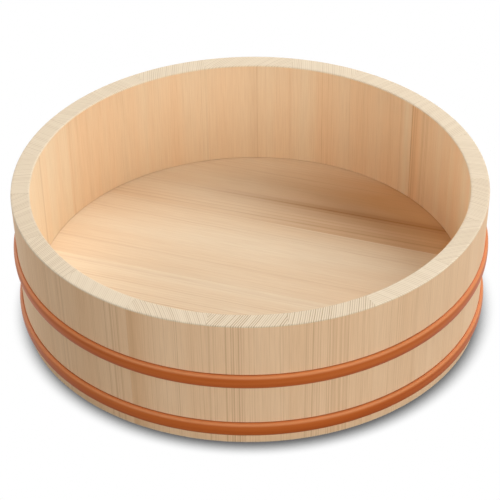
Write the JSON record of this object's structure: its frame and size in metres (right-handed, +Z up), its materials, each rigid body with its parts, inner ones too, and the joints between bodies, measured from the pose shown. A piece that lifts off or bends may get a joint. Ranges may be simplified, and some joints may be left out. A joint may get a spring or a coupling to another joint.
{
  "type": "sushi rice tub",
  "caption": "Shallow round coopered wooden tub for cooling and seasoning sushi rice, with a raised board floor and domed resin hoops.",
  "frame": {"origin": "middle of the foot, on the surface that the tub stands on", "axes": "+Z up along the tub's axis; +Y is the far side and +X the right side in the picture's view"},
  "size_m": [0.3312, 0.3312, 0.1],
  "materials": {
    "sawara_stave": "unfinished planed softwood, quarter-sawn, fine straight grain",
    "sawara_floor": "unfinished planed softwood, flat-sawn, with darker heartwood bands",
    "hoop_resin": "copper-coloured extruded resin, semi-gloss",
    "bamboo": "split bamboo, unfinished"
  },
  "bodies": {
    "root": {"stave_01": "sawara_stave", "stave_02": "sawara_stave", "stave_03": "sawara_stave", "stave_04": "sawara_stave", "stave_05": "sawara_stave", "stave_06": "sawara_stave", "stave_07": "sawara_stave", "stave_08": "sawara_stave", "stave_09": "sawara_stave", "stave_10": "sawara_stave", "stave_11": "sawara_stave", "stave_12": "sawara_stave", "stave_13": "sawara_stave", "stave_14": "sawara_stave", "stave_15": "sawara_stave", "stave_16": "sawara_stave", "stave_17": "sawara_stave", "stave_18": "sawara_stave", "stave_19": "sawara_stave", "floor_board_1": "sawara_floor", "floor_board_2": "sawara_floor", "floor_board_3": "sawara_floor", "floor_board_4": "sawara_floor", "upper_hoop": "hoop_resin", "lower_hoop": "hoop_resin", "stave_peg_01": "bamboo", "stave_peg_02": "bamboo", "stave_peg_03": "bamboo", "stave_peg_04": "bamboo", "stave_peg_05": "bamboo", "stave_peg_06": "bamboo", "stave_peg_07": "bamboo", "stave_peg_08": "bamboo", "stave_peg_09": "bamboo", "stave_peg_10": "bamboo", "stave_peg_11": "bamboo", "stave_peg_12": "bamboo", "stave_peg_13": "bamboo", "stave_peg_14": "bamboo", "stave_peg_15": "bamboo", "stave_peg_16": "bamboo", "stave_peg_17": "bamboo", "stave_peg_18": "bamboo", "stave_peg_19": "bamboo", "floor_peg_01": "bamboo", "floor_peg_02": "bamboo", "floor_peg_03": "bamboo", "floor_peg_04": "bamboo", "floor_peg_05": "bamboo", "floor_peg_06": "bamboo", "floor_peg_07": "bamboo", "floor_peg_08": "bamboo", "floor_peg_09": "bamboo"}
  },
  "joints": []
}
